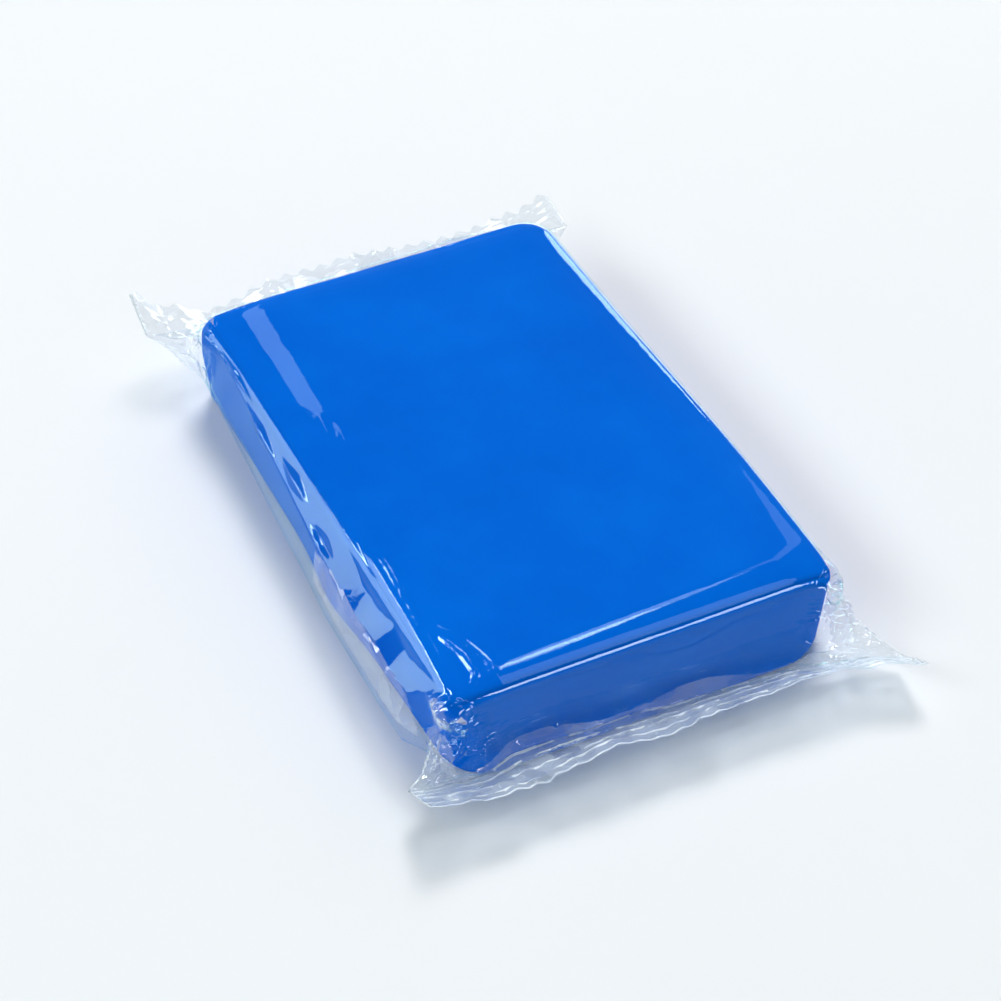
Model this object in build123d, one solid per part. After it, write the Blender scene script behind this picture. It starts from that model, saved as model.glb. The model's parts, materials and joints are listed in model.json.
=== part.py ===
from build123d import *
import os

# A block of detailing clay in a clear flow-wrap film: one web folded into a tube round the block,
# closed by a fin seal under it and by a crimped, zigzag-cut seal across each end.
#
# Frame: +Y along the block, +X across it, +Z up. The origin is under the middle, on the resting plane.
# All sizes are in millimetres.

# The block of clay
BLOCK_LENGTH = 104.0
BLOCK_WIDTH = 65.0
BLOCK_HEIGHT = 17.0
BLOCK_CORNER_RADIUS = 6.0  # upright corners
BLOCK_EDGE_RADIUS = 3.0  # edges round the top and bottom faces

# The film
FILM = 0.1
SLACK = 0.35  # between film and clay, all round
SLEEVE_END_GAP = 0.05  # half of the parting between the sleeve and each end piece

# The fin seal along the middle of the underside: two layers, folded flat to the +X side
FIN_WIDTH = 9.0
FIN_CLEARANCE = 0.15
FIN_THICKNESS = 2 * FILM

# The ends: the tube closes down to a flat seal, wider than the block by the height it loses
SEAL_HEIGHT = 7.0  # of the seal's middle plane above the resting plane
SEAL_WIDTH = 84.0
SEAL_DEPTH = 9.5
CLOSING_DEPTH = 4.0
FOLD_TIP_HEIGHT = 4 * FILM  # of the fold's mouth, where the seal begins
FOLD_TIP_ROUNDING = 0.45  # corner radius of that mouth, as a share of its height
HINGE_GAP = 0.4  # on each side of the crease, so that the seal clears the fold when it is bent up
RIDGES = 7
RIDGE_HEIGHT = 0.3
TOOTH_PITCH = 3.5
TOOTH_DEPTH = 1.2

# Worked out from the above
SLEEVE_WIDTH = BLOCK_WIDTH + 2 * (SLACK + FILM)
SLEEVE_HEIGHT = BLOCK_HEIGHT + 2 * (SLACK + FILM)
SLEEVE_RADIUS = BLOCK_EDGE_RADIUS + SLACK + FILM
SLEEVE_LENGTH = BLOCK_LENGTH + 2 * SLACK
SLEEVE_END = SLEEVE_LENGTH / 2
HINGE_Y = SLEEVE_END + CLOSING_DEPTH
MID_HEIGHT = SLEEVE_HEIGHT / 2


def section(width, height, radius, y, z=MID_HEIGHT):
    """A rounded rectangle standing in the XZ plane at y, centred at height z."""
    plane = Plane(origin=(0, y, z), x_dir=(1, 0, 0), z_dir=(0, 1, 0))
    return plane * RectangleRounded(width, height, radius)


def box_between(low, high):
    """A box from its lowest corner to its highest."""
    size = [b - a for a, b in zip(low, high)]
    middle = [(a + b) / 2 for a, b in zip(low, high)]
    return Pos(*middle) * Box(*size)


def clay_bar():
    """The block itself, with its upright corners and then its long edges rounded."""
    block = Pos(0, 0, MID_HEIGHT) * Box(BLOCK_WIDTH, BLOCK_LENGTH, BLOCK_HEIGHT)
    block = fillet(block.edges().filter_by(Axis.Z), BLOCK_CORNER_RADIUS)
    rims = block.faces().sort_by(Axis.Z)[0].edges() + block.faces().sort_by(Axis.Z)[-1].edges()
    return fillet(rims, BLOCK_EDGE_RADIUS)


def film_sleeve():
    """The tube of film round the block. Its underside steps up over the fin, so that both rest flush."""
    outer = extrude(
        section(SLEEVE_WIDTH, SLEEVE_HEIGHT, SLEEVE_RADIUS, -SLEEVE_END + SLEEVE_END_GAP),
        SLEEVE_LENGTH - 2 * SLEEVE_END_GAP,
    )
    inner = extrude(
        section(SLEEVE_WIDTH - 2 * FILM, SLEEVE_HEIGHT - 2 * FILM, SLEEVE_RADIUS - FILM, -SLEEVE_END),
        SLEEVE_LENGTH,
    )
    channel = box_between((0, -SLEEVE_END, 0), (FIN_WIDTH + FIN_CLEARANCE, SLEEVE_END, FIN_THICKNESS))
    channel_wall = box_between(
        (-FILM, -SLEEVE_END, 0),
        (FIN_WIDTH + FIN_CLEARANCE + FILM, SLEEVE_END, FIN_THICKNESS + FILM),
    )
    return outer - (inner - channel_wall) - channel


def back_fin_seal():
    """The two edges of the web, sealed face to face and folded flat against the underside."""
    return box_between(
        (FIN_CLEARANCE, -SLEEVE_END + SLEEVE_END_GAP, 0),
        (FIN_WIDTH, SLEEVE_END - SLEEVE_END_GAP, FIN_THICKNESS),
    )


def end_fold(side):
    """The film that closes from the tube's section to the flat seal. side is -1 in front, 1 behind."""
    root = side * (SLEEVE_END + SLEEVE_END_GAP)
    tip = side * (HINGE_Y - HINGE_GAP)

    def closing(wall):
        start = section(
            SLEEVE_WIDTH - 2 * wall, SLEEVE_HEIGHT - 2 * wall, SLEEVE_RADIUS - wall, root
        )
        height = FOLD_TIP_HEIGHT - 2 * wall
        radius = FOLD_TIP_ROUNDING * height
        end = section(SEAL_WIDTH - 2 * wall, height, radius, tip, SEAL_HEIGHT)
        return loft([start, end], ruled=True)

    return closing(0) - closing(FILM)


def crimp_seal(side):
    """The ridged flat seal beyond an end fold, with its outer edge cut in a zigzag."""
    root = HINGE_Y + HINGE_GAP
    steps = 2 * RIDGES
    depth = HINGE_Y + SEAL_DEPTH - root
    middle = [
        (root + depth * i / steps, SEAL_HEIGHT + RIDGE_HEIGHT / 2 * (-1 if i % 2 else 1))
        for i in range(steps + 1)
    ]
    upper = [(0, side * y, z + FILM) for y, z in middle]
    lower = [(0, side * y, z - FILM) for y, z in reversed(middle)]
    profile = make_face(Polyline(upper + lower, close=True))
    band = extrude(profile, SEAL_WIDTH / 2, dir=(1, 0, 0), both=True)

    teeth = round(SEAL_WIDTH / TOOTH_PITCH)
    tip = HINGE_Y + SEAL_DEPTH
    zigzag = [
        (-SEAL_WIDTH / 2 + TOOTH_PITCH * i / 2, side * (tip - TOOTH_DEPTH * (1 - i % 2)))
        for i in range(2 * teeth + 1)
    ]
    outline = make_face(
        Polyline(
            [(-SEAL_WIDTH / 2, side * HINGE_Y)] + zigzag + [(SEAL_WIDTH / 2, side * HINGE_Y)],
            close=True,
        )
    )
    return band & extrude(Pos(0, 0, SEAL_HEIGHT) * outline, 2 * RIDGE_HEIGHT, both=True)


PARTS = {
    "clay_bar": clay_bar(),
    "film_sleeve": film_sleeve(),
    "back_fin_seal": back_fin_seal(),
    "front_end_fold": end_fold(-1),
    "front_crimp_seal": crimp_seal(-1),
    "rear_end_fold": end_fold(1),
    "rear_crimp_seal": crimp_seal(1),
}

os.makedirs("parts", exist_ok=True)
for name, shape in PARTS.items():
    export_step(shape, f"parts/{name}.step")
    print(name, round(shape.volume, 1), "mm3")
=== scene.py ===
import json
import math

import bmesh
import bpy
import numpy as np
from mathutils import Matrix, Vector


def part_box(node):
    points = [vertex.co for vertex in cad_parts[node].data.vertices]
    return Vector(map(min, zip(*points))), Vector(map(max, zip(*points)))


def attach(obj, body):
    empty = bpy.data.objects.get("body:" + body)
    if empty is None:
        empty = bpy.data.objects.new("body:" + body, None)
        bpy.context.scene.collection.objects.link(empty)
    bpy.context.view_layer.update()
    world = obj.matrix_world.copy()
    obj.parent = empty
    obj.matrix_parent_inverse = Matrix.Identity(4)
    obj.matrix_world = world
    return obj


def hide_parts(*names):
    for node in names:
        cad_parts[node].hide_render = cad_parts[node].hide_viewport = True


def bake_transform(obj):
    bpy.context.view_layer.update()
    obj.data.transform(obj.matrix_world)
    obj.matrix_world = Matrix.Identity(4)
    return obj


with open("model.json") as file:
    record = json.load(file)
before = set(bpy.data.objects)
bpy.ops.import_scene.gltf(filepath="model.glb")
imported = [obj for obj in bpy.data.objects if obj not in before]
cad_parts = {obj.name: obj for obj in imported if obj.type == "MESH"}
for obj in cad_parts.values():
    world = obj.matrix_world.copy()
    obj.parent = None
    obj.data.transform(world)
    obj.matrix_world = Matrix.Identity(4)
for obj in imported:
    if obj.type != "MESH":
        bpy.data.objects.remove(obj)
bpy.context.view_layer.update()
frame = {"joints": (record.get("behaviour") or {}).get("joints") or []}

# A block of detailing clay in a clear flow-wrap film, seen on a pale studio floor.
#
# The film is one web. Its shape is worked out here as a flat tube of exactly known size that is laid
# round the block, held by its two seals and relaxed until it has its own lengths again, so its folds
# and ears are those of a film that doesn't stretch. That part works in millimetres.

MM = 0.001

# -------------------- places and sizes, from the frame

CLAY_LOW, CLAY_HIGH = [np.array(corner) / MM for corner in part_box("clay_bar")]
CLAY_MIDDLE = (CLAY_LOW + CLAY_HIGH) / 2
CAD_HALF = (CLAY_HIGH - CLAY_LOW) / 2
SPREAD = (0.9, 0.9, 0)  # of the soft block, beyond its nominal size, on each side
CLAY_HALF = CAD_HALF + SPREAD
SEAL_LOW, SEAL_HIGH = [np.array(corner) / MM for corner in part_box("front_crimp_seal")]
SEAL_WIDTH = SEAL_HIGH[0] - SEAL_LOW[0]
FIN_LOW, FIN_HIGH = [np.array(corner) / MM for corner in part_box("back_fin_seal")]
JOINTS = {joint["name"]: joint for joint in frame["joints"]}
HINGE_Y = JOINTS["rear_seal_fold"]["pos_m"][1] / MM
SEAL_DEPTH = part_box("rear_crimp_seal")[1][1] / MM - HINGE_Y
TEAR_GAP = 0.05  # half of the parting between the sleeve and the front end
TEAR_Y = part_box("front_end_fold")[1][1] / MM + TEAR_GAP

# -------------------- the clay

TOP_RADIUS = 1.3  # round the top face
BASE_RADIUS = 1.4  # round the bottom face
# Radii of the upright corners at the top and at the bottom, by the signs of x and y
TOP_CORNERS = {(-1, -1): 2.4, (1, -1): 2.4, (1, 1): 6.0, (-1, 1): 2.6}
BASE_CORNERS = {(-1, -1): 8.5, (1, -1): 9.5, (1, 1): 8.0, (-1, 1): 6.0}
CLAY_STEP = 0.8  # between the mesh's points
CLAY_ROOM = 5.0  # how far outside the block the box is that its mesh is drawn in from
CLAY_INSET = 0.08  # how far its surface lies inside the nominal one, to clear the film
# Unevenness of its surface: height, the lengths across and along, and for the coarse one a phase
UNEVEN = (0.05, 9, 11, 1)
FINE_UNEVEN = (0.03, 3.1, 4.3)
FLARE = np.array([0.5, 1.4])  # how much wider the block is at its base, on each side and each end
CROWN_RISE = 0.8  # of the middle of the top
# How far the top falls towards each side and over what distance, at the side's two ends
CROWN = {
    "left": ((1.3, 1.2), (12.0, 14.0)),
    "right": ((1.0, 0.7), (9.0, 6.0)),
    "front": ((1.4, 1.7), (4.6, 8.8)),
    "rear": ((1.0, 0.9), (7.0, 7.0)),
}
CROWN_BLEND = 1.25  # how the falls join at the corners: 1 for round, larger for squarer
# The left side bulges low down and near its rear corner, and is pressed in near its front corner: how
# far, the place along the pack, the height above the base, and the reach along and up
LEFT_BULGES = [
    (1.7, -9.0, 2.5, 10.0, 6.0),
    (1.1, 48.0, 11.0, 9.0, 6.0),
    (-1.3, -50.0, 1.0, 14.0, 8.0),
]
# The right side bulges at every height: how far, the place along the pack, and the reach
RIGHT_BULGE, RIGHT_BULGE_Y, RIGHT_BULGE_REACH = 1.1, -22.0, 38.0

# -------------------- the film

GIRTH = 2 * SEAL_WIDTH
FILM_GAP = 0.14  # between the film's surface and the block where they touch
TOUCHING = 0.02  # within this of its place on the block, the film counts as lying on it
OVER_LEVEL = 0.2  # film counts as over the block where it lies up from its core more than this share
FLOOR_GAP = 0.05
FIN_ROOM = FIN_HIGH[2] + 0.05  # the film lies this high where the fin is under it
TEETH = 24  # along one seal
COLUMNS_PER_TOOTH = 6
TOOTH_DEPTH = 1.1
# The pressed ridges of the front seal and of the rear seal: how far each is from the root, and its
# height. Those in front wander.
RIDGES = {
    -1: ((0.5, 0.3), (2.7, 0.24), (4.9, 0.2), (7.2, 0.24)),
    1: ((0.6, 0.1), (2.4, 0.06), (4.2, 0.06), (6.0, 0.06), (7.8, 0.06)),
}
RIDGE_WIDTH = 0.33
RIDGE_WHITE_AND_GLINT = 0.16  # half-width of the white line along a front ridge: partly whitened film, partly a painted highlight
WANDER = {-1: 0.45, 1: 0.0}
FIN_EDGES = (0.4, 8.6)  # x of the fin's two edges, which show through each seal
FIN_EDGE_HEIGHT, FIN_EDGE_WIDTH = 0.12, 0.5
WAVE = {-1: 0.16, 1: 0.12}  # height of the small waves along each seal
SEAL_ROWS = 42
LAYER_GAP = 0.035  # half the distance between the two layers of a seal

# How each end seal lies, at stations across the pack: x, the root's distance from the block's face,
# its height, and how far the band tilts up, in degrees
FRONT_SEAL = [
    (-42, 3.3, 5.5, 30),
    (-37, 3.8, 4.8, 29),
    (-30, 4.3, 4.4, 26),
    (-24, 3.4, 5.6, 12),
    (-17, 3.2, 5.4, 20),
    (-11, 3.5, 5.0, 26),
    (-3, 3.5, 5.0, 19),
    (4, 4.0, 4.3, 27),
    (14, 4.1, 3.7, 32),
    (22, 4.7, 3.3, 36),
    (28, 5.6, 2.8, 40),
    (34, 6.4, 2.5, 36),
    (42, 9.3, 2.6, 34),
]
REAR_SEAL = [
    (-42, 6.5, 11.6, 26),
    (-36, 5.4, 9.4, 8),
    (-28, 4.6, 7.4, -2),
    (-13, 4.8, 8.5, 8),
    (0, 4.8, 8.6, 8),
    (20, 4.2, 7.6, 4),
    (34, 4.6, 8.0, 6),
    (42, 6.0, 8.6, 10),
]

# How the film stands off the block's long sides, at stations along the pack: y, how far inside the
# side the film leaves the top, then the shoulder crease and the fold below it: out and height of each
LEFT_SIDE = [
    (-52, 0.5, 2.7, 15, 5.6, 6),
    (-44, 1, 3.4, 13.6, 5.6, 6),
    (-37, 2, 4.2, 12.2, 5.6, 5.8),
    (-31, 1.2, 4, 13.2, 5.4, 5.2),
    (-24, 2.2, 4.3, 12, 5.2, 4.6),
    (-14, 0.8, 3.6, 13.7, 5, 3.8),
    (-4, 0.6, 3.1, 14.3, 4.4, 4.4),
    (14, 0.5, 2, 15.3, 3.6, 4.8),
    (28, 0.5, 1.1, 16.1, 2.8, 5),
    (38, 0.5, 0.5, 16.6, 2.5, 6.2),
    (46, 0.5, 0.3, 16.2, 1.8, 7),
]
RIGHT_SIDE = [
    (-46, 0.8, 1.6, 15.2, 3.6, 7.5),
    (-20, 0.2, 2, 14.8, 3, 6.5),
    (10, 0.3, 1.3, 14.8, 2.4, 6),
    (32, 0.4, 0.5, 14.8, 1.8, 7),
    (46, 0.4, 0.4, 14.8, 1.4, 8),
]
# Distances round the tube from its left fold: of the left side's lower edge, fold, shoulder and the
# line where the film lies on the top. The right side mirrors them.
SIDE_AT = (-8.2, -2.2, 6.2, 11.8)
FRONT_LENGTH, REAR_LENGTH = 15.0, 11.0  # of the film beyond the block's two ends
FILM_LENGTH = FRONT_LENGTH + 2 * CLAY_HALF[1] + REAR_LENGTH  # between the two seals' roots
UNDER_HEIGHT = 0.28  # of the film under the block
UNDER_WAVE = 0.05
RIPPLE = 0.02  # height of the first small ripples that the loose film gets
RIPPLE_COUNT = 10
SEED = 7  # of those ripples
# Film to spare between the block and the seals, as a share of its length: flat, and at the side folds
FLAT_SLACK, FOLD_SLACK = -0.004, 0.05
FOLD_SLACK_REACH = 14  # how far from a side fold that slack reaches
UNDER_SLACK_SHARE = 0.5  # of the film's lower layer
# How close to the block's ends the film is loose: at its sides, and at its top and underside
SIDE_LOOSE, FLAT_LOOSE = 9, 2.0
STRETCH, SHEAR = 1.9, 1.0  # how strongly the film keeps its lengths and its right angles
BEND = 0.35  # how strongly it resists a crease
DAMPING = 0.97  # share of its speed that it keeps from round to round
GRAVITY = 0.0004  # how much faster the film sinks with each round; less at each finer level
STICK = 0.3  # how strongly film that lies flat on the block stays where it is
LAYERS_APART = 0.05  # at least, between the upper and the lower film
ROUNDS, QUICK_ROUNDS = (500, 500, 400), (40, 20, 10)  # of settling, at each of the three finenesses
FIRST_ROWS = 51  # of the film at the first fineness
# Spacing of the finished film's rows at distances along it from the front seal's root
ROW_SPACING = [(0, 0.4), (11, 0.4), (13, 0.25), (17, 0.25), (19, 0.5), (36, 0.5)]
ROW_SPACING += [(50, 1.2), (100, 1), (112, 0.6), (130, 0.6)]
# Tension creases in the film on the block's top: height, half-width, and the points each runs through
TOP_CREASES = [
    (0.36, 0.42, [(-29.2, -36.5), (-28.4, -40), (-27.4, -44), (-27.2, -47.5), (-28.4, -50.3)]),
    (0.36, 0.42, [(-28.8, -36.5), (-27.4, -38.2), (-25.8, -42), (-24.6, -47), (-24.4, -51)]),
    (0.3, 0.5, [(-31, 51), (-12, 52), (8, 52.2), (29, 51.2)]),
    (0.2, 0.4, [(-28, 49.4), (-16, 50.8), (-4, 51.2)]),
    (0.12, 0.5, [(-25.2, 18.1), (-26.2, 8.7), (-27.5, -2.9)]),
    (0.12, 0.5, [(-23.2, 14.2), (-24.8, 4.4), (-26.4, -4.3)]),
    (0.4, 0.5, [(-29.6, -10.1), (-30.2, -29.9), (-31.2, -46.9)]),
    (0.4, 0.5, [(-31, -8), (-31.4, -29.9), (-32.2, -48)]),
]
# Small four-sided dents: distance round the tube from its left fold and along it from the front
# seal, half-sizes, and height
DENTS = [
    (8.8, 15, 4.5, 7, 2.4),
    (75.6, 15, 4.5, 6, 2),
    (19, 2.2, 1.2, 1.4, 0.65),
    (20.5, 4.2, 0.7, 0.9, -0.3),
    (25, 3.4, 1.6, 1.4, 0.8),
    (36, 2.6, 1.6, 1.3, 0.9),
    (33.8, 3.4, 0.8, 1.5, -0.4),
    (41, 2.4, 1.2, 1.2, 0.7),
    (13, 3, 1.1, 1.4, 0.65),
    (50, 2.4, 0.8, 0.9, -0.3),
    (5.5, 4.5, 1.6, 1.2, 0.6),
    (2.2, 2.2, 1, 1.6, 0.6),
    (3.5, 7, 1.2, 2.2, 0.7),
    (1.2, 10, 1, 3, 0.6),
    (7.5, 8.5, 1.4, 2.5, 0.6),
    (10.5, 14, 1.2, 1.6, 0.35),
    (9, 17, 1, 2.5, 0.3),
    (73.5, 14.5, 1.2, 1.3, 0.4),
    (76, 16, 1, 1.8, 0.35),
    (79, 3, 1.4, 1.6, 0.6),
    (81, 6, 1, 2.4, 0.6),
    (77, 7, 1.2, 2, 0.5),
    (82.5, 2, 0.8, 1.4, 0.5),
    (2, 126, 1, 2, 0.5),
    (5, 123, 1.4, 2, 0.6),
    (8, 119, 1.5, 2.2, 0.5),
    (1, 118, 1.2, 3, 0.6),
    (12, 117.5, 1, 2, 0.25),
    (7, 116, 2.6, 5.5, 0.9),
    (8.5, 103, 2, 8, 0.6),
    (6.5, 88, 1.8, 8, 0.6),
    (8.5, 74, 1.8, 7, 0.6),
    (7.5, 60, 1.6, 6, -0.6),
    (80, 124, 1.2, 2, 0.5),
    (76, 121, 1.4, 2, 0.4),
]
UPPER_PER_TOOTH, LOWER_PER_TOOTH = 10, 4  # columns of the finished film along one tooth
# Dents smaller than this and beyond this distance from the front seal get painted glints: their tips
# are made white, over this share of their size
SMALL_DENT, GLINT_TIPS_FROM, GLINT_TIP_SHARE = 2.1, 13.0, 0.42
EAR_REACH = 4.0  # how far alongside the block its ears begin
EAR_OUT = 1.0  # how far out from the block's sides they begin
# The loose flap on the left side: how far out from the block it begins, its rear end, and how far round
# the tube from the left fold it reaches
FLAP_OUT, FLAP_END_Y, FLAP_REACH = 3.5, -8, 30
# Rows of the film next to the front seal that are crumpled too: on average, and give or take
CRUMPLED_ROWS, CRUMPLED_ROWS_SWING = 6, 4
FOLD_WHITE_AND_GLINT_WIDTH = 0.4  # of the white line along a side fold: partly the crease's whitening, partly a painted highlight
FRONT_BULGE = 0.7  # of the film over the block's front face
STRAIGHT_LENGTH = 17.0  # from the front seal's root, within which the middle of the film is straight
STRAIGHT_TO = (22.0, 30.0)  # that middle's half-width, and where it has passed into the loose film
# The back fin: how far under the film it lies, its ribs and how many columns apart they are, its least
# height, and how far its free edge reaches past its nominal one
FIN_UNDER, FIN_RIB, FIN_RIB_SPACING, FIN_FLOOR, FIN_OVERHANG = 0.12, 0.03, 4, 0.04, 0.3
CUT_EDGE_GLINT_ROWS = 2  # of film made white along the front seal's cut edge: partly the cut's whitening, partly a painted highlight
CLEAR, CRIMPED, WHITE_AND_GLINT, CRUMPLED, PRESSED = range(5)  # the kinds of film; the white one is partly whitened film, partly a painted highlight

# -------------------- shapes


def eased(x, stations, column):
    """The stations' value at x, level at each station and smooth between them."""
    at = np.array([station[0] for station in stations], float)
    value = np.array([station[column] for station in stations], float)
    i = np.clip(np.searchsorted(at, x) - 1, 0, len(at) - 2)
    t = np.clip((x - at[i]) / (at[i + 1] - at[i]), 0, 1)
    return value[i] + (value[i + 1] - value[i]) * t * t * (3 - 2 * t)


def ridge_line(side, k, x):
    """The distance of a seal's ridge number k from the seal's root, at each x."""
    wander = np.sin(x / 8.3 + 1.7 * k) + 0.5 * np.sin(x / 3.4 + 2.9 * k)
    return RIDGES[side][k][0] + WANDER[side] * wander


def seal_surface(side, x, depth, layer):
    """Points on an end seal. side is -1 in front and 1 behind, depth is measured from its root
    towards the outer edge, and layer is 1 above and -1 below."""
    stations = FRONT_SEAL if side < 0 else REAR_SEAL
    out, up = eased(x, stations, 1), eased(x, stations, 2)
    tilt = np.radians(eased(x, stations, 3))
    share = depth / SEAL_DEPTH
    wave = WAVE[side] * (np.sin(x / 2.6 + side) + 0.6 * np.sin(x / 1.3 + 2 * side))
    up = up + wave * (0.35 + share)
    raised = layer * LAYER_GAP
    for k, (_, height) in enumerate(RIDGES[side]):
        swell = 0.7 + 0.3 * np.sin(x / 6.5 + 4 * k)
        off = (depth - ridge_line(side, k, x)) / RIDGE_WIDTH
        raised = raised + height * swell * np.exp(-(off**2)) * (depth > 0)
    for edge in FIN_EDGES:
        bump = np.exp(-(((x - edge) / FIN_EDGE_WIDTH) ** 2))
        raised = raised + FIN_EDGE_HEIGHT * bump * np.clip(depth, 0, 1)
    y = CAD_HALF[1] + out + depth * np.cos(tilt) - raised * np.sin(tilt)
    z = up + depth * np.sin(tilt) + raised * np.cos(tilt)
    return np.stack([x * np.ones_like(y), side * y, z], axis=-1)


def across(u):
    """x on the flattened tube, and the layer, for a distance u round it from its left fold."""
    above = u <= SEAL_WIDTH
    x = np.where(above, u - SEAL_WIDTH / 2, 1.5 * SEAL_WIDTH - u)
    return x, np.where(above, 1.0, -1.0)




def stand_off(stations, side, y):
    """The corners of the film's section on one side at y, from the top down: x and z of each. side is
    -1 on the left and 1 on the right."""
    at = [station[0] for station in stations]
    on, out_1, up_1, out_2, up_2 = [np.interp(y, at, [s[k] for s in stations]) for k in range(1, 6)]
    leaves = pressed_on(np.array([side * (CLAY_HALF[0] - on), y, CLAY_HIGH[2] + CROWN_RISE]))
    x = [leaves[0]] + [side * (CLAY_HALF[0] + out) for out in (out_1, out_2, -BASE_RADIUS)]
    return x, [leaves[2], up_1, up_2, UNDER_HEIGHT]


def section(u, y):
    """The film's points round the block at y, for distances u round the tube from its left fold."""
    half = SEAL_WIDTH / 2
    left, right = stand_off(LEFT_SIDE, -1, y), stand_off(RIGHT_SIDE, 1, y)
    at = [*SIDE_AT, *(2 * half - d for d in reversed(SIDE_AT)), 4 * half + SIDE_AT[0]]
    x, z = left[0][::-1] + right[0], left[1][::-1] + right[1]
    wrapped = np.where(u > at[-1], u - GIRTH, u)
    along_x, along_z = np.interp(wrapped, at, [*x, x[0]]), np.interp(wrapped, at, [*z, z[0]])
    place = np.stack([along_x, np.full_like(u, y), along_z], axis=-1)
    under = (wrapped > at[-2]) | (wrapped < at[0])
    place[..., 2] += under * UNDER_WAVE * np.sin(place[..., 0] / 3.7 + y / 9) * math.sin(y / 5.1)
    return place


def resting_limit(u):
    """How far from the middle, along the pack, the film is drawn taut, for a distance u round it."""
    side, flat = CLAY_HALF[1] - SIDE_LOOSE, CLAY_HALF[1] - FLAT_LOOSE
    shoulder, on_top = SIDE_AT[2], SIDE_AT[3] + 3
    at = [0, shoulder, on_top, SEAL_WIDTH - SIDE_AT[3] - 3, SEAL_WIDTH - shoulder, SEAL_WIDTH + 2]
    at += [SEAL_WIDTH + 12, GIRTH - 12, GIRTH]
    return np.interp(u, at, [side, side, flat, flat, side, side, flat, flat, side])


def taut_film(u, y):
    """The film drawn taut round the block: a row for each y and a column for each distance u."""
    film = np.stack([section(u, place) for place in y])
    top = (u > SIDE_AT[3]) & (u < SEAL_WIDTH - SIDE_AT[3])
    for _ in range(3):
        film = np.where(top[None, :, None], pressed_on(film), film)
    return kept_off(film, np.full(len(u), FLOOR_GAP))[0]


def end_slack(u):
    """The share of its length that the film has to spare between the block and a seal."""
    near_fold = UNDER_SLACK_SHARE
    if u < SEAL_WIDTH:
        at = [0, FOLD_SLACK_REACH, SEAL_WIDTH - FOLD_SLACK_REACH, SEAL_WIDTH]
        near_fold = np.interp(u, at, [1, 0, 0, 1])
    return FLAT_SLACK + (FOLD_SLACK - FLAT_SLACK) * near_fold


def on_block(v):
    """y for a distance v along the film from the front seal's root, where it lies along the block."""
    return v - FRONT_LENGTH - CLAY_HALF[1]


def first_film(rows, columns):
    """The film before it settles: taut round the block, straight from there into the two seals. Also
    which of its points are free to settle and the length of each step along it."""
    u = np.arange(columns) * GIRTH / columns
    x, layer = across(u)
    y = on_block(np.linspace(0, FILM_LENGTH, rows))
    film = taut_film(u, y)
    free = np.abs(y)[:, None] > resting_limit(u)[None, :]
    steps = np.full((rows - 1, columns), FILM_LENGTH / (rows - 1))
    for side in (-1, 1):
        root = seal_surface(side, x, np.zeros(columns), layer)
        edge = section(u, side * CLAY_HALF[1])
        rim = kept_off(edge, np.zeros(columns))[0]
        for c in range(columns):
            loose = int(free[y * side > 0, c].sum())
            stop = film[loose, c] if side < 0 else film[rows - 1 - loose, c]
            path = np.stack([root[c], rim[c], stop])
            reach = np.concatenate([[0], np.cumsum(np.linalg.norm(np.diff(path, axis=0), axis=1))])
            at = np.linspace(0, reach[-1], loose + 1)
            line = np.stack([np.interp(at, reach, path[:, k]) for k in range(3)], axis=-1)
            step = reach[-1] * (1 + end_slack(u[c])) / loose
            if side < 0:
                film[: loose + 1, c] = line
                steps[:loose, c] = step
            else:
                film[rows - 1 - loose :, c] = line[::-1]
                steps[rows - 1 - loose :, c] = step
    free[[0, -1]] = False
    return film, free, steps


def finer(film):
    """The same film with twice as many rows and columns."""
    rows, columns, _ = film.shape
    wide = np.empty((rows, 2 * columns, 3))
    wide[:, 0::2] = film
    wide[:, 1::2] = (film + np.roll(film, -1, axis=1)) / 2
    long = np.empty((2 * rows - 1, 2 * columns, 3))
    long[0::2] = wide
    long[1::2] = (wide[:-1] + wide[1:]) / 2
    return long


def corner_radius(q):
    """The block's corner radius at each point, given from its middle: sharper at the top."""
    front, right = q[..., 1] < 0, q[..., 0] > 0
    height = np.clip(0.5 + q[..., 2] / (2 * CLAY_HALF[2]), 0, 1)
    radii = []
    for corners in (BASE_CORNERS, TOP_CORNERS):
        near = np.where(right, corners[1, -1], corners[-1, -1])
        far = np.where(right, corners[1, 1], corners[-1, 1])
        radii.append(np.where(front, near, far))
    return radii[0] + (radii[1] - radii[0]) * height


def crown_fall(q):
    """How far the crowned top lies below its middle at each point, given from the block's middle."""
    along_x, along_y = [np.clip(0.5 + q[..., k] / (2 * CLAY_HALF[k]), 0, 1) for k in (0, 1)]
    ways = {
        "left": (q[..., 0] + CLAY_HALF[0], along_y),
        "right": (CLAY_HALF[0] - q[..., 0], along_y),
        "front": (q[..., 1] + CLAY_HALF[1], along_x),
        "rear": (CLAY_HALF[1] - q[..., 1], along_x),
    }
    total = 0
    for side, (falls, runs) in CROWN.items():
        inside, share = ways[side]
        fall = falls[0] + (falls[1] - falls[0]) * share
        run = runs[0] + (runs[1] - runs[0]) * share
        total = total + (fall * (1 - np.clip(inside / run, 0, 1)) ** 2) ** CROWN_BLEND
    return total ** (1 / CROWN_BLEND) - CROWN_RISE


def unit(vectors):
    """The vectors at length 1."""
    return vectors / np.maximum(np.linalg.norm(vectors, axis=-1), 1e-9)[..., None]


def edge_radius(p):
    """The radius of the block's level edges: larger round the top than round the bottom."""
    return np.where(p[..., 2] > CLAY_MIDDLE[2], TOP_RADIUS, BASE_RADIUS)


def bulge(p, out, y, above_base, reach_along, reach_up):
    """How far a rounded bulge, centred at y and above the block's base, moves its side."""
    off_y = (p[..., 1] - y) / reach_along
    off_z = (p[..., 2] - CLAY_LOW[2] - above_base) / reach_up
    return out * np.exp(-(off_y**2) - off_z**2)


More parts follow.
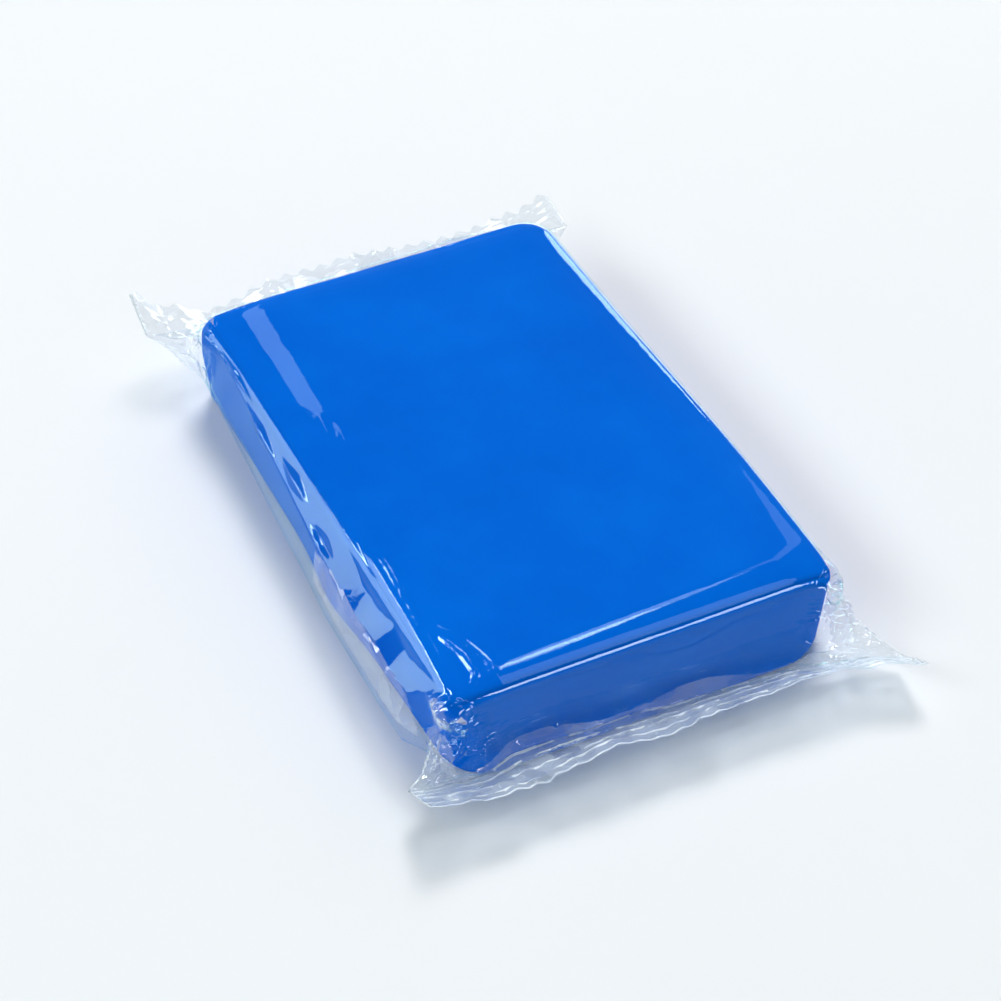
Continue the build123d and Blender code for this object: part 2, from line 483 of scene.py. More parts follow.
def side_bulge(p):
    """How far the block's side stands out at each point."""
    left = sum(bulge(p, *values) for values in LEFT_BULGES)
    right = RIGHT_BULGE * np.exp(-(((p[..., 1] - RIGHT_BULGE_Y) / RIGHT_BULGE_REACH) ** 2))
    return np.where(p[..., 0] < 0, left, right)


def clay_core(p):
    """The nearest point to p in the block's core, which the block surrounds by its edge radius."""
    q = p - CLAY_MIDDLE
    q[..., 0] -= side_bulge(p) * np.clip(q[..., 0] / CLAY_HALF[0], -1, 1)
    lowness = np.clip(0.5 - q[..., 2] / (2 * CLAY_HALF[2]), 0, 1)
    q[..., :2] *= 1 - FLARE * lowness[..., None] / CLAY_HALF[:2]
    moved = p - CLAY_MIDDLE - q
    corner, edge = corner_radius(q), edge_radius(p)
    sign, size = np.sign(q), np.abs(q)
    inner = CLAY_HALF[:2] - corner[..., None]
    beyond = np.maximum(size[..., :2] - inner, 0)
    distance = np.linalg.norm(beyond, axis=-1)
    keep = corner - edge
    share = np.where(distance > keep, keep / np.maximum(distance, 1e-9), 1)
    flat = np.minimum(size[..., :2], inner) + beyond * share[..., None]
    fall = np.where(q[..., 2] > 0, crown_fall(q), 0)
    z = np.clip(size[..., 2], 0, CLAY_HALF[2] - edge - fall)
    core = np.concatenate([flat, z[..., None]], axis=-1)
    return sign * core + CLAY_MIDDLE + moved


def from_core(film):
    """The nearest points of the block's core, and the way and the distance from them to the film."""
    core = clay_core(film)
    away = film - core
    return core, away, np.maximum(np.linalg.norm(away, axis=-1), 1e-6)


def pressed_on(film):
    """Draws the film that is over the block's top onto it."""
    core, away, distance = from_core(film)
    over = (away[..., 2] > OVER_LEVEL * distance) & (np.abs(film[..., 0]) < CLAY_HALF[0])
    reach = np.where(over, TOP_RADIUS + FILM_GAP, distance)
    return core + away * (reach / distance)[..., None]


def kept_off(film, lowest):
    """Pushes points out of the block and off the floor. Also says how flat each lies on the block."""
    core, away, distance = from_core(film)
    reach = edge_radius(film) + FILM_GAP
    level = np.abs(away[..., 2]) / distance
    film = core + away * (np.maximum(distance, reach) / distance)[..., None]
    film[..., 2] = np.maximum(film[..., 2], lowest)
    return film, (distance < reach + TOUCHING) * np.clip((level - 0.7) / 0.2, 0, 1)


def pull_together(film, free, across_by, along_by, rest, stiffness):
    """Moves every two points that are so many columns and rows apart to their rest distance."""
    rows = film.shape[0]
    first, second = film[: rows - along_by], np.roll(film, -across_by, axis=1)[along_by:]
    gap = second - first
    length = np.linalg.norm(gap, axis=-1)
    free_a, free_b = free[: rows - along_by], np.roll(free, -across_by, axis=1)[along_by:]
    share = (length - rest) / np.maximum(length, 1e-9) / np.maximum(free_a + free_b, 1)
    change = gap * (stiffness * 0.5 * share)[..., None]
    film[: rows - along_by] += change * free_a[..., None]
    back = np.zeros_like(film)
    back[along_by:] = change * free_b[..., None]
    film -= np.roll(back, across_by, axis=1)


def seeded_ripples(film, seed):
    """Small smooth ripples away from the seals, so that the folds aren't all alike."""
    random = np.random.default_rng(seed)
    shift = np.zeros_like(film)
    for _ in range(RIPPLE_COUNT):
        wave = random.uniform(-0.5, 0.5, 3)
        phase = random.uniform(0, 2 * math.pi, 3)
        shift += RIPPLE * np.sin((film @ wave)[..., None] + phase)
    return shift


def relaxed(film, free, steps_along, count, gravity, seed):
    """Lets the free film settle to its own lengths between the seals and the film on the block."""
    rows, columns, _ = film.shape
    du = GIRTH / columns
    u = np.arange(columns) * du
    x, layer = across(u)
    free = free.astype(float)
    start = film.copy()
    film = film + seeded_ripples(film, seed) * free[..., None]
    fin = (layer < 0) & (x > FIN_LOW[0] - 1) & (x < FIN_HIGH[0] + 1)
    lowest = np.where(fin, FIN_ROOM, FLOOR_GAP)[None, :] * np.ones((rows, 1))
    mirrored = (-np.arange(columns)) % columns
    two_steps = steps_along[:-1] + steps_along[1:]
    families = [
        (1, 0, STRETCH, du),
        (0, 1, STRETCH, steps_along),
        (1, 1, SHEAR, np.hypot(du, steps_along)),
        (-1, 1, SHEAR, np.hypot(du, steps_along)),
        (2, 0, BEND, 2 * du),
        (0, 2, BEND, two_steps),
    ]
    before = film.copy()
    for _ in range(count):
        moved = film + (film - before) * DAMPING * free[..., None]
        moved[..., 2] -= gravity * free
        before = film
        film = moved
        for a, b, stiffness, rest in families:
            pull_together(film, free, a, b, rest, stiffness)
        top = film[:, : columns // 2 + 1]
        low = film[:, mirrored[: columns // 2 + 1]]
        crossing = np.maximum(low[..., 2] + LAYERS_APART - top[..., 2], 0) / 2
        film[:, : columns // 2 + 1, 2] += crossing
        film[:, mirrored[1 : columns // 2], 2] -= crossing[:, 1 : columns // 2]
        film, touching = kept_off(film, lowest)
        film = np.where(free[..., None] > 0, film, start)
        before = before + (film - before) * (touching * STICK * free)[..., None]
    return film


def settled_film():
    """The settled film at full detail: rows from the front seal's root to the rear seal's."""
    columns, rows = TEETH * COLUMNS_PER_TOOTH * 2 // 4, FIRST_ROWS
    film = None
    for level, count in enumerate(ROUNDS):
        fresh, free, steps_along = first_film(rows, columns)
        film = fresh if film is None else np.where(free[..., None], finer(film), fresh)
        film = relaxed(film, free, steps_along, count, GRAVITY / (1 + level), SEED + level)
        rows, columns = 2 * rows - 1, 2 * columns
    return film




def gathered_steps(stops):
    """Positions from the first stop to the last, spaced as the stops' second values say."""
    at, spacing = zip(*stops)
    place = [at[0]]
    while place[-1] < at[-1]:
        place.append(place[-1] + np.interp(place[-1], at, spacing))
    return np.array(place) * at[-1] / place[-1]


def finished_columns():
    """Distances round the tube of the finished film's columns: close above and wider apart below."""
    upper = np.arange(TEETH * UPPER_PER_TOOTH) / UPPER_PER_TOOTH
    lower = TEETH + np.arange(TEETH * LOWER_PER_TOOTH) / LOWER_PER_TOOTH
    return np.concatenate([upper, lower]) * SEAL_WIDTH / TEETH


def smooth_between(film, at, wrap):
    """The film at fractional row numbers, smooth through its rows. wrap joins the last to the first."""
    low = np.floor(at).astype(int)
    t = (at - low)[:, None, None]
    weights = (
        -t / 2 + t**2 - t**3 / 2,
        1 - 2.5 * t**2 + 1.5 * t**3,
        t / 2 + 2 * t**2 - 1.5 * t**3,
        -(t**2) / 2 + t**3 / 2,
    )
    total = 0
    for k, weight in enumerate(weights):
        row = low + k - 1
        row = row % len(film) if wrap else np.clip(row, 0, len(film) - 1)
        total = total + film[row] * weight
    return total


def along_lines(place, points):
    """Each place's distance from a line through the points, and how far along it that is, 0 to 1."""
    nearest, share = np.full(place.shape[:-1], np.inf), np.zeros(place.shape[:-1])
    count = len(points) - 1
    for k, (a, b) in enumerate(zip(points[:-1], points[1:])):
        a, b = np.array(a), np.array(b)
        t = np.clip((place - a) @ (b - a) / ((b - a) @ (b - a)), 0, 1)
        distance = np.linalg.norm(place - a - t[..., None] * (b - a), axis=-1)
        closer = distance < nearest
        nearest = np.where(closer, distance, nearest)
        share = np.where(closer, (k + t) / count, share)
    return nearest, share


def drawn_straight(u, v):
    """The film drawn straight from the front seal's root, over the block's front edge, onto its top."""
    x, layer = across(u)
    root = seal_surface(-1, x, np.zeros(len(u)), layer)
    rim = kept_off(section(u, -CLAY_HALF[1]), np.zeros(len(u)))[0]
    rest = taut_film(u, np.array([on_block(STRAIGHT_LENGTH)]))[0]
    first, second = np.linalg.norm(rim - root, axis=-1), np.linalg.norm(rest - rim, axis=-1)
    reach = np.clip(v / STRAIGHT_LENGTH, 0, 1)[:, None] * (first + second)[None, :]
    low = np.clip(reach / first, 0, 1)[..., None]
    high = np.clip((reach - first) / second, 0, 1)[..., None]
    film = root + (rim - root) * low + (rest - rim) * high
    swell = FRONT_BULGE * (1 + 0.3 * np.sin(x / 11 + 1))
    film[..., 1] -= swell[None, :] * np.sin(math.pi * low[..., 0])
    film = np.where((v < STRAIGHT_LENGTH)[:, None, None], film, taut_film(u, on_block(v)))
    return kept_off(film, np.zeros(len(u)))[0]


def row_places():
    """Distances along the finished film, from the front seal's root, of its rows."""
    return gathered_steps([(at * FILM_LENGTH / ROW_SPACING[-1][0], step) for at, step in ROW_SPACING])


def off_dent(dent, u, v):
    """How far each place of the film is from a dent's middle: 1 at its edge."""
    dent_u, dent_v, half_u, half_v, _ = dent
    return np.abs(u - dent_u)[None, :] / half_u + np.abs(v - dent_v)[:, None] / half_v


def finished_film(film):
    """The settled film with its rows gathered where it is creased, and with its small creases."""
    u = finished_columns()
    x, layer = across(u)
    v = row_places()
    settled = smooth_between(film, v / FILM_LENGTH * (film.shape[0] - 1), False)
    turned = np.swapaxes(settled, 0, 1)
    settled = np.swapaxes(smooth_between(turned, u / GIRTH * film.shape[1], True), 0, 1)
    y = on_block(v)
    taut = np.abs(y)[:, None] <= resting_limit(u)[None, :]
    made = np.where(taut[..., None], taut_film(u, y), settled)
    share = np.clip((np.abs(x) - STRAIGHT_TO[0]) / (STRAIGHT_TO[1] - STRAIGHT_TO[0]), 0, 1)
    loose = np.where(layer > 0, share * share * (3 - 2 * share), 1)[None, :, None]
    loose = np.where((v < STRAIGHT_LENGTH)[:, None, None], loose, 1)
    made = made * loose + drawn_straight(u, v) * (1 - loose)
    on_top = (layer > 0)[None, :] * (made[..., 2] > CLAY_MIDDLE[2])
    for height, width, points in TOP_CREASES:
        distance, share = along_lines(made[..., :2], points)
        taper = np.clip(4 * share, 0, 1) * np.clip(4 * (1.05 - share), 0, 1)
        made[..., 2] += on_top * height * taper * np.exp(-((distance / width) ** 2))
    outward = unit(np.cross(np.gradient(made, axis=1), np.gradient(made, axis=0)))
    for dent in DENTS:
        made += (dent[-1] * np.clip(1 - off_dent(dent, u, v), 0, 1))[..., None] * outward
    return made


def seal_rows(side):
    """Rows of an end seal from its root, left out, to its zigzag outer edge."""
    x, layer = across(finished_columns())
    tooth = 0.5 - 0.5 * np.cos(2 * math.pi * (x / SEAL_WIDTH * TEETH + 0.5))
    cut = 1 if side > 0 else 0.2 + 0.3 * (1 + np.sin(x / 3.1) * np.sin(x / 7.7 + 1))
    end = SEAL_DEPTH - TOOTH_DEPTH * tooth * cut
    depths = np.arange(1, SEAL_ROWS + 1)[:, None] / SEAL_ROWS * end[None, :]
    return np.stack([seal_surface(side, x, depth, layer) for depth in depths])


# -------------------- meshes


def new_object(name, mesh):
    """An object for the mesh, in the scene."""
    made = bpy.data.objects.new(name, mesh)
    bpy.context.scene.collection.objects.link(made)
    return made


def grid_mesh(name, points, closed):
    """A mesh of a grid of points in millimetres. closed joins its last column to its first."""
    rows, columns, _ = points.shape
    mesh = bpy.data.meshes.new(name)
    index = np.arange(rows * columns).reshape(rows, columns)
    left, right = index, np.roll(index, -1, axis=1)
    if not closed:
        left, right = left[:, :-1], right[:, :-1]
    faces = np.stack([left[:-1], right[:-1], right[1:], left[1:]], axis=-1).reshape(-1, 4)
    mesh.from_pydata((points.reshape(-1, 3) * MM).tolist(), [], faces.tolist())
    mesh.update()
    return mesh


def film_kinds(whole):
    """Which kind of film each face of the whole grid is. It is made white where it is creased hardest
    and along its cut edge, partly as whitened film and partly as a painted highlight, and at small
    dents' tips as painted glints.
    """
    middle = (whole[:-1] + whole[1:]) / 2
    u = finished_columns()
    u = u + np.diff(u, append=GIRTH) / 2
    x, layer = across(u)
    kinds = np.full(middle.shape[:2], CLEAR)
    past_block = np.abs(middle[..., 1]) > CLAY_HALF[1] - EAR_REACH
    ears = past_block & (np.abs(middle[..., 0]) > CLAY_HALF[0] + EAR_OUT)
    flap = (middle[..., 0] < -CLAY_HALF[0] - FLAP_OUT) & (middle[..., 1] < FLAP_END_Y)
    kinds[ears | (flap & (u < FLAP_REACH)[None, :])] = CRUMPLED
    crumpled_rows = CRUMPLED_ROWS + CRUMPLED_ROWS_SWING * np.sin(x / 4.3)
    near_root = np.arange(len(middle))[:, None] - SEAL_ROWS < crumpled_rows[None, :]
    kinds[near_root & (layer > 0)[None, :]] = CRUMPLED
    for side, first in ((-1, SEAL_ROWS - 2), (1, len(middle) - SEAL_ROWS + 1)):
        for row in range(SEAL_ROWS - 1):
            depth = (row + 0.5) / SEAL_ROWS * SEAL_DEPTH
            off = [np.abs(depth - ridge_line(side, k, x)) for k in range(len(RIDGES[side]))]
            at = first + side * row
            # The white lines along the front seal's ridges are partly the pressed film's whitening and
            # partly painted highlights
            broken = np.sin(x / 2.1 + 3 * np.argmin(off, axis=0)) > -0.8
            creased = (np.min(off, axis=0) < RIDGE_WHITE_AND_GLINT) & broken & (side < 0)
            kinds[at] = np.where(creased, WHITE_AND_GLINT, CRIMPED)
    row = np.arange(len(middle)) - SEAL_ROWS
    places = row_places()
    at = places[np.clip(row, 0, len(places) - 1)]
    # Painted glints: the tips of the small dents are made white
    for dent in DENTS:
        _, dent_v, _, half_v, _ = dent
        if dent_v > GLINT_TIPS_FROM and half_v < SMALL_DENT:
            kinds[(off_dent(dent, u, at) < GLINT_TIP_SHARE) & (row >= 0)[:, None]] = WHITE_AND_GLINT
    # A white line along each side fold past the block: partly creased film, partly a painted highlight
    fold = np.minimum(u, np.abs(u - SEAL_WIDTH)) < FOLD_WHITE_AND_GLINT_WIDTH
    kinds[past_block & fold[None, :]] = WHITE_AND_GLINT
    # The front seal's cut edge is made white: partly the cut film's whitening, partly a painted
    # highlight
    kinds[:CUT_EDGE_GLINT_ROWS] = WHITE_AND_GLINT
    at_rear = middle[..., 1] > CLAY_HALF[1] - EAR_REACH
    kinds[at_rear & np.isin(kinds, (CRIMPED, CRUMPLED))] = PRESSED
    return kinds


def torn_apart(mesh, names):
    """Two objects, cut from the mesh across the tear line, that keep the whole mesh's shading."""
    whole = bmesh.new()
    whole.from_mesh(mesh)
    geometry = whole.verts[:] + whole.edges[:] + whole.faces[:]
    tear = (0, TEAR_Y * MM, 0)
    bmesh.ops.bisect_plane(whole, geom=geometry, dist=1e-7, plane_co=tear, plane_no=(0, 1, 0))
    whole.normal_update()
    normals = [v.normal.copy() for v in whole.verts]
    halves = []
    for name, side in zip(names, (-1, 1)):
        half = whole.copy()
        away = [f for f in half.faces if (f.calc_center_median().y - TEAR_Y * MM) * side < 0]
        normal_of = dict(zip(half.verts, normals))
        bmesh.ops.delete(half, geom=away, context="FACES")
        for face in half.faces:
            face.smooth = True
        kept = [normal_of[v] for v in half.verts]
        made = bpy.data.meshes.new(name)
        half.to_mesh(made)
        half.free()
        made.normals_split_custom_set_from_vertices(kept)
        halves.append(new_object(name, made))
    whole.free()
    return halves


def clay_mesh():
    """The block: a fine box whose points are drawn onto the rounded, slightly uneven block."""
    shape = bmesh.new()
    half = CLAY_HALF + CLAY_ROOM
    for axis in range(3):
        a, b = (axis + 1) % 3, (axis + 2) % 3
        na, nb = [max(2, round(2 * half[k] / CLAY_STEP)) for k in (a, b)]
        for side in (-1, 1):
            grid = np.zeros((na + 1, nb + 1, 3))
            grid[..., axis] = side * half[axis]
            for along, count, shape_of in ((a, na, (-1, 1)), (b, nb, (1, -1))):
                even = np.linspace(-1, 1, count + 1)
                gathered = 0.5 * even + 0.5 * np.sin(even * math.pi / 2)  # towards the edges
                grid[..., along] = (gathered * half[along]).reshape(shape_of)
            verts = [[shape.verts.new(p) for p in line] for line in grid]
            for i in range(na):
                for j in range(nb):
                    corners = [verts[i][j], verts[i + 1][j], verts[i + 1][j + 1], verts[i][j + 1]]
                    shape.faces.new(corners if side > 0 else corners[::-1])
    bmesh.ops.remove_doubles(shape, verts=shape.verts[:], dist=CLAY_STEP / 40)
    points = np.array([v.co for v in shape.verts]) + CLAY_MIDDLE
    core = clay_core(points)
    away = unit(points - core)
    height, across_length, along_length, phase = UNEVEN
    uneven = height * np.sin(points[:, 0] / across_length + phase) * np.sin(points[:, 1] / along_length)
    height, across_length, along_length = FINE_UNEVEN
    uneven += height * np.sin(points[:, 0] / across_length + points[:, 1] / along_length)
    surface = core + away * (edge_radius(points) - CLAY_INSET + uneven)[:, None]
    for v, p in zip(shape.verts, surface):
        v.co = p * MM
    for face in shape.faces:
        face.smooth = True
    mesh = bpy.data.meshes.new("clay_block")
    shape.to_mesh(mesh)
    shape.free()
    return mesh


# -------------------- materials

# Colours between which the clay and the floor are mottled, each with its place on a ramp
CLAY_BLUES = [(0.35, (0.0, 0.135, 0.70)), (0.7, (0.0, 0.16, 0.76))]
FLOOR_GREYS = [(0.3, (0.88, 0.895, 0.915)), (0.7, (0.895, 0.91, 0.93))]
# The kinds of film, in the order of the material slots: name, what it lets through, the colour of its
# reflections, their strength where it is faced, milkiness, roughness, and its facets' scale and tilt
FILM_KINDS = [
    ("clear_film", (0.985, 0.988, 0.995), (0.62, 0.93, 0.92), 0.045, 0.0, 0.02, None),
    ("crimped_film", (0.91, 0.935, 0.965), (0.9, 0.97, 1), 0.08, 0.13, 0.09, (260, 0.25)),
    # The white film is milky: partly the whitening of creased and cut film, partly a painted highlight
    # on ridges, folds, edges and dent tips
    ("whitened_and_glint_film", (0.9, 0.925, 0.96), (0.9, 0.97, 1), 0.1, 0.55, 0.1, (260, 0.2)),
    ("crumpled_film", (0.98, 0.985, 0.99), (0.85, 0.97, 1), 0.07, 0.17, 0.05, (200, 0.6)),
    ("pressed_film", (0.96, 0.972, 0.985), (0.88, 0.97, 1), 0.05, 0.07, 0.09, (200, 0.3)),
]
WELDED_FILM = ("welded_film", (0.95, 0.955, 0.97), (0.9, 0.97, 1), 0.06, 0.1, 0.12, None)
MILK = (0.9, 0.96, 1.0)
SLANT_GLOSS = 0.75  # how much stronger the film's reflections are where it is seen edge-on


def fill(tree, socket, value):
    """Feeds a socket by an output, or gives it a constant value."""
    if isinstance(value, bpy.types.NodeSocket):
        tree.links.new(value, socket)
    else:
        socket.default_value = value


def add_node(tree, kind, **values):
    """A shader node and what its sockets hold. Their names have _ here for each space."""
    made = tree.nodes.new("ShaderNode" + kind)
    for name, value in values.items():
        fill(tree, made.inputs[name.replace("_", " ")], value)
    return made


def math_node(tree, kind, operation, *values):
    """The output of a math node, whose sockets hold the values in order."""
    node = add_node(tree, kind)
    node.operation = operation
    for socket, value in zip(node.inputs, values):
        fill(tree, socket, value)
    return node.outputs[0]


def noise_node(tree, scale, detail, rough=0.5):
    """Noise in the object's own coordinates, which are metres."""
    place = add_node(tree, "TexCoord").outputs["Object"]
    return add_node(tree, "TexNoise", Vector=place, Scale=scale, Detail=detail, Roughness=rough)


def bump_node(tree, noise, strength, distance):
    """The normal of a surface that the noise raises, by up to a distance in metres."""
    height = noise.outputs["Fac"]
    bump = add_node(tree, "Bump", Height=height, Strength=strength, Distance=distance)
    return bump.outputs["Normal"]


def ramp_node(tree, factor, stops):
    """The colour of a ramp over a factor: stops are (position, colour)."""
    ramp = add_node(tree, "ValToRGB", Fac=factor)
    while len(ramp.color_ramp.elements) < len(stops):
        ramp.color_ramp.elements.new(0.5)
    for element, (position, colour) in zip(ramp.color_ramp.elements, stops):
        element.position = position
        element.color = (*colour, 1)
    return ramp.outputs["Color"]


def mixed(tree, share, first, second):
    """A mix of two shaders, with this share of the second."""
    mix = add_node(tree, "MixShader", Fac=share)
    tree.links.new(first.outputs[0], mix.inputs[1])
    tree.links.new(second.outputs[0], mix.inputs[2])
    return mix


def facets(tree, scale, tilt):
    """Irregular small facets: their random colour, and a normal tilted at random in each."""
    place = add_node(tree, "TexCoord").outputs["Object"]
    warp = noise_node(tree, scale * 0.7, 2).outputs["Color"]
    shift = math_node(tree, "VectorMath", "MULTIPLY", warp, (1.2 / scale,) * 3)
    moved = math_node(tree, "VectorMath", "ADD", place, shift)
    colour = add_node(tree, "TexVoronoi", Vector=moved, Scale=scale).outputs["Color"]
    spread = math_node(tree, "VectorMath", "SUBTRACT", colour, (0.5, 0.5, 0.5))
    spread = math_node(tree, "VectorMath", "MULTIPLY", spread, (tilt,) * 3)
    normal = add_node(tree, "NewGeometry").outputs["Normal"]
    turned = math_node(tree, "VectorMath", "ADD", normal, spread)
    return colour, math_node(tree, "VectorMath", "NORMALIZE", turned)


def new_material(name):
    """A material with an empty node tree, and that tree."""
    made = bpy.data.materials.new(name)
    made.use_nodes = True
    made.node_tree.nodes.clear()
    return made, made.node_tree


def clay_material():
    """Smooth, dense blue clay: faint mottling, a fine tacky grain and a satin surface."""
    made, tree = new_material("blue_clay")
    shader = add_node(
        tree,
        "BsdfPrincipled",
        Base_Color=ramp_node(tree, noise_node(tree, 45, 5, 0.6).outputs["Fac"], CLAY_BLUES),
        Normal=bump_node(tree, noise_node(tree, 1500, 6, 0.6), 0.15, 0.0001),
        Roughness=0.55,
        Specular_IOR_Level=0.01,
    )
    add_node(tree, "OutputMaterial", Surface=shader.outputs["BSDF"])
    return made


def film_material(name, tint, shine, base, haze, roughness, facet):
    """Clear film: see-through where it is faced, glossy where it is seen at a slant, faintly milky.
    shine is the colour of its reflections, base their strength where it is faced and haze its
    milkiness, both from 0 to 1. facet is the scale and tilt of small facets in crumpled film."""
    made, tree = new_material(name)
    if facet:
        colour, normal = facets(tree, *facet)
        haze = math_node(tree, "Math", "MULTIPLY_ADD", colour, 1.4 * haze, 0.3 * haze)
    else:
        normal = bump_node(tree, noise_node(tree, 260, 3), 0.08, 0.0002)
    slant = add_node(tree, "LayerWeight", Blend=0.5).outputs["Facing"]
    steep = math_node(tree, "Math", "POWER", slant, 5.0)
    share = math_node(tree, "Math", "MULTIPLY_ADD", steep, SLANT_GLOSS, base)
    share.node.use_clamp = True
    clear = add_node(tree, "BsdfTransparent", Color=(*tint, 1))
    gloss = add_node(tree, "BsdfGlossy", Color=(*shine, 1), Roughness=roughness, Normal=normal)
    milk = add_node(tree, "BsdfDiffuse", Color=(*MILK, 1))
    film = mixed(tree, haze, mixed(tree, share, clear, gloss), milk)
    add_node(tree, "OutputMaterial", Surface=film.outputs["Shader"])
    return made


def floor_material():
    """A pale matt studio floor."""
    made, tree = new_material("pale_floor")
    colour = ramp_node(tree, noise_node(tree, 6, 2).outputs["Fac"], FLOOR_GREYS)
    shader = add_node(
        tree, "BsdfPrincipled", Base_Color=colour, Roughness=0.9, Specular_IOR_Level=0.1
    )
    add_node(tree, "OutputMaterial", Surface=shader.outputs["BSDF"])
    return made


# -------------------- pieces


def make_clay():
    """The block of clay."""
    made = new_object("clay_block", clay_mesh())
    made.data.materials.append(clay_material())
    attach(made, "clay")
    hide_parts("clay_bar")


def make_film():
    """The film's two pieces, either side of the tear line, and the whole grid of its points, which the
    fin under them is made from.
    """
    body = finished_film(settled_film())
    front, rear = seal_rows(-1), seal_rows(1)
    whole = np.concatenate([front[::-1], body, rear])
    kinds = [film_material(*values) for values in FILM_KINDS]
    mesh = grid_mesh("film", whole, True)
    mesh.polygons.foreach_set("material_index", film_kinds(whole).ravel())
    film_front, film_body = torn_apart(mesh, ("film_front_end", "film_sleeve_body"))
    for piece in (film_front, film_body):
        for kind in kinds:
            piece.data.materials.append(kind)
    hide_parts("front_end_fold", "front_crimp_seal")
    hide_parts("film_sleeve", "rear_end_fold", "rear_crimp_seal")
    return film_front, film_body, whole


def make_fin(whole):
    """The back fin: the web's two edges, welded and folded flat under the film, in two pieces."""
    x, layer = across(finished_columns())
    under = np.where((layer < 0) & (x > FIN_LOW[0]) & (x < FIN_HIGH[0] + FIN_OVERHANG))[0]
    strip = whole[:, under].copy()
    normal = unit(np.cross(np.gradient(strip, axis=1), np.gradient(strip, axis=0)))
    outward = np.sign(normal[..., 2].mean()) * -1
    ribs = FIN_RIB * np.sin(2 * math.pi * np.arange(len(under)) / FIN_RIB_SPACING)
    strip += normal * outward * (FIN_UNDER + ribs)[None, :, None]
    strip[..., 2] = np.maximum(strip[..., 2], FIN_FLOOR)
    welded = film_material(*WELDED_FILM)
    mesh = grid_mesh("fin", strip, False)
    fin_front, fin_body = torn_apart(mesh, ("fin_front_end", "fin_back"))
    for piece in (fin_front, fin_body):
        piece.data.materials.append(welded)
    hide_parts("back_fin_seal")
    return fin_front, fin_body


def join_to_bodies(front_pieces, body_pieces):
    """Bakes the placement of each front piece and of each other piece into its mesh."""
    for piece in front_pieces:
        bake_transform(piece)
    for piece in body_pieces:
        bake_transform(piece)


# -------------------- studio

# The soft boxes that light the pack: name, azimuth and elevation, distance, size, power, and the
# colour of those that aren't white
LAMPS = [
    ("key", (36, 55), 3.0, (1.1, 1.1), 68.0),
    ("wide_key", (58, 36), 2.6, (2.4, 1.4), 12.0),
    ("left_fill", (-100, 40), 2.2, (1.8, 0.6), 22.0, (0.9, 1.0, 1.0)),
    ("front_fill", (-160, 30), 2.2, (1.6, 1.0), 2.5),
]
# The same for those that are seen only as reflections in the film
REFLECTED_LAMPS = [
    ("rear_panel", (46, 43), 2.0, (0.12, 0.8), 0.34),
    ("front_streak", (39, 60.5), 2.0, (0.3, 0.34), 1.1),
    ("front_streak_core", (39, 61), 2.0, (0.26, 0.14), 1.1),
    ("top_panel", (95, 69), 1.8, (0.5, 0.4), 0.9),
    ("left_strip", (10.8, 36.8), 1.6, (0.105, 0.36), 0.26),
    ("left_panel", (-42, 27), 2.2, (0.8, 1.1), 16.0, (1, 0.96, 0.84)),
    ("low_rear_panel", (34, 9), 2.2, (2.4, 0.45), 15.0),
    ("edge_glint", (154, 42), 1.6, (0.6, 0.5), 12.0, (1, 0.88, 0.88)),
    ("side_glint", (-60, 75), 1.4, (0.12, 0.12), 0.6),
    ("crease_glint_left", (-31, 46), 1.6, (0.4, 0.2), 6.5),
    ("crease_glint_right", (40, 24), 1.6, (0.2, 0.26), 1.8),
    ("glint_1", (-157, 4), 1.6, (0.6, 0.2), 8.0),
    ("glint_2", (-84, 42), 1.6, (0.34, 0.34), 6.0),
    ("glint_3", (125, 4), 1.6, (0.5, 0.2), 6.5),
    ("glint_4", (-15, 62), 1.6, (0.1, 0.1), 0.8),
]
FLOOR_HALF = 3.0  # half of the floor's side
# The pale surround, from the horizon up: share of the way up and colour
SURROUND = [(0.0, (0.85, 0.9, 0.96)), (0.15, (0.6, 0.66, 0.74)), (0.42, (0.0, 0.0, 0.0))]
CAMERA_TURN = (-25.3, 42.6, -0.6)  # azimuth from -Y, elevation and roll, in degrees
CAMERA_PLACE = (-1.344, -2.845, 2.915)  # from the middle of the block's base, in lengths of the block
LENS, SENSOR = 93.5, 36


def area_light(name, direction, distance, size, power, colour=(1, 1, 1), glossy=True, diffuse=True):
    """A soft box that faces the pack from a direction given by azimuth and elevation in degrees.
    Azimuth 0 is towards +Y and 90 towards +X."""
    azimuth, elevation = [math.radians(a) for a in direction]
    level = math.cos(elevation)
    towards = Vector((math.sin(azimuth) * level, math.cos(azimuth) * level, math.sin(elevation)))
    light = bpy.data.lights.new(name, "AREA")
    light.shape = "RECTANGLE"
    light.size, light.size_y = size
    light.energy = power
    light.color = colour
    made = bpy.data.objects.new(name, light)
    made.location = towards * distance
    made.rotation_mode = "QUATERNION"
    made.rotation_quaternion = towards.to_track_quat("Z", "Y")
    made.visible_glossy = glossy
    made.visible_diffuse = diffuse
    bpy.context.scene.collection.objects.link(made)


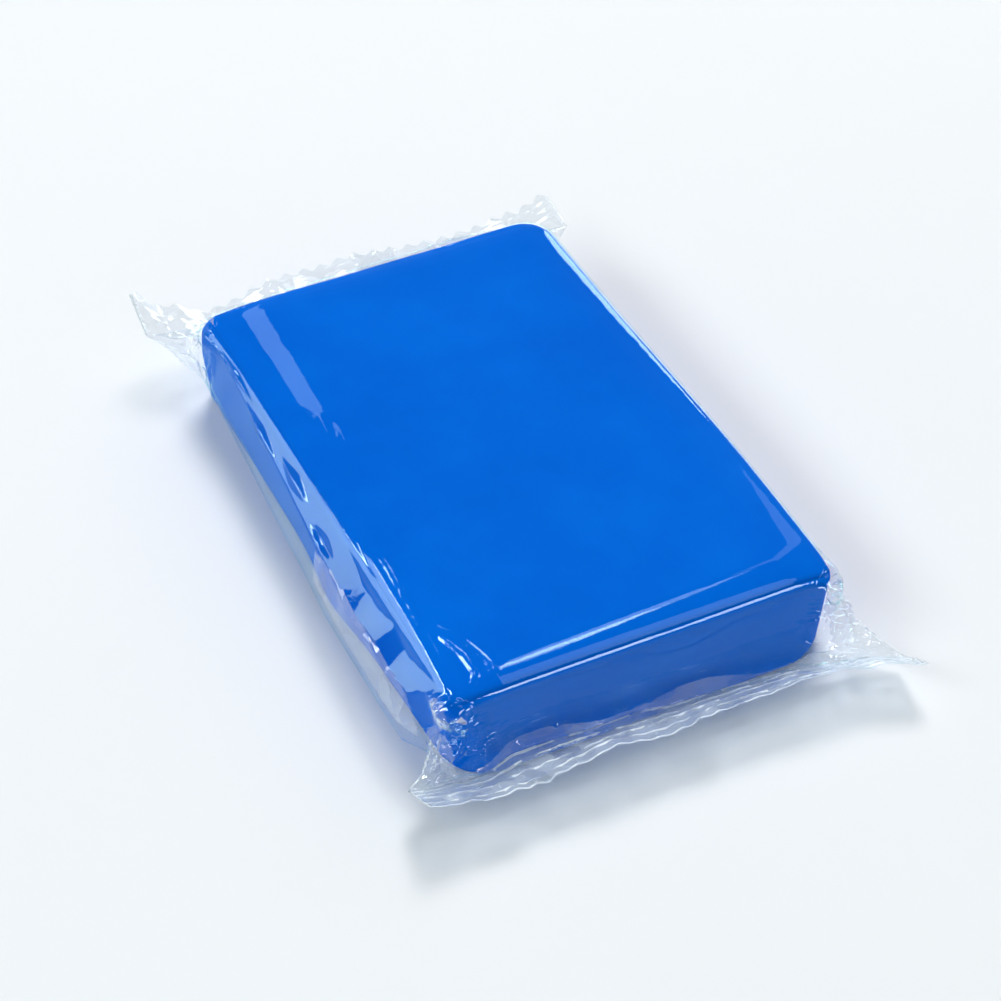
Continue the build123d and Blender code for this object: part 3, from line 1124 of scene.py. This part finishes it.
def make_studio():
    """The floor, the soft boxes and an even pale surround."""
    floor = bpy.data.meshes.new("floor")
    shape = bmesh.new()
    bmesh.ops.create_grid(shape, x_segments=4, y_segments=4, size=FLOOR_HALF)
    shape.to_mesh(floor)
    shape.free()
    ground = new_object("floor", floor)
    ground.data.materials.append(floor_material())
    for lamp in LAMPS:
        area_light(*lamp, glossy=False)
    for lamp in REFLECTED_LAMPS:
        area_light(*lamp, diffuse=False)
    world = bpy.data.worlds.new("studio")
    bpy.context.scene.world = world
    world.use_nodes = True
    tree = world.node_tree
    surround = tree.nodes["Background"]
    place = add_node(tree, "TexCoord").outputs["Generated"]
    up = add_node(tree, "SeparateXYZ", Vector=place).outputs["Z"]
    tree.links.new(ramp_node(tree, up, SURROUND), surround.inputs["Color"])
    surround.inputs["Strength"].default_value = 1.0


def make_camera():
    """The camera at the photographed viewing angle."""
    azimuth, elevation, roll = [math.radians(a) for a in CAMERA_TURN]
    level = math.cos(elevation)
    back = Vector((math.sin(azimuth) * level, -math.cos(azimuth) * level, math.sin(elevation)))
    right = Vector((math.cos(azimuth), math.sin(azimuth), 0))
    up = back.cross(right)
    rolled_right = right * math.cos(roll) + up * math.sin(roll)
    rolled_up = up * math.cos(roll) - right * math.sin(roll)
    data = bpy.data.cameras.new("camera")
    data.sensor_width = SENSOR
    data.lens = LENS
    data.clip_start = 0.01
    data.clip_end = 20
    camera = bpy.data.objects.new("camera", data)
    length = 2 * CAD_HALF[1] * MM
    place = Vector(CAMERA_PLACE) * length + Vector((0, 0, CLAY_LOW[2] * MM))
    turn = Matrix((rolled_right, rolled_up, back)).transposed().to_4x4()
    camera.matrix_world = Matrix.Translation(place) @ turn
    bpy.context.scene.collection.objects.link(camera)
    bpy.context.scene.camera = camera


def make_all():
    """Everything, in order."""
    scene = bpy.context.scene
    scene.view_settings.view_transform = "Standard"
    scene.cycles.transparent_max_bounces = 24
    make_camera()
    make_studio()
    make_clay()
    film_front, film_body, whole = make_film()
    fin_front, fin_body = make_fin(whole)
    join_to_bodies((film_front, fin_front), (film_body, fin_body))


make_all()
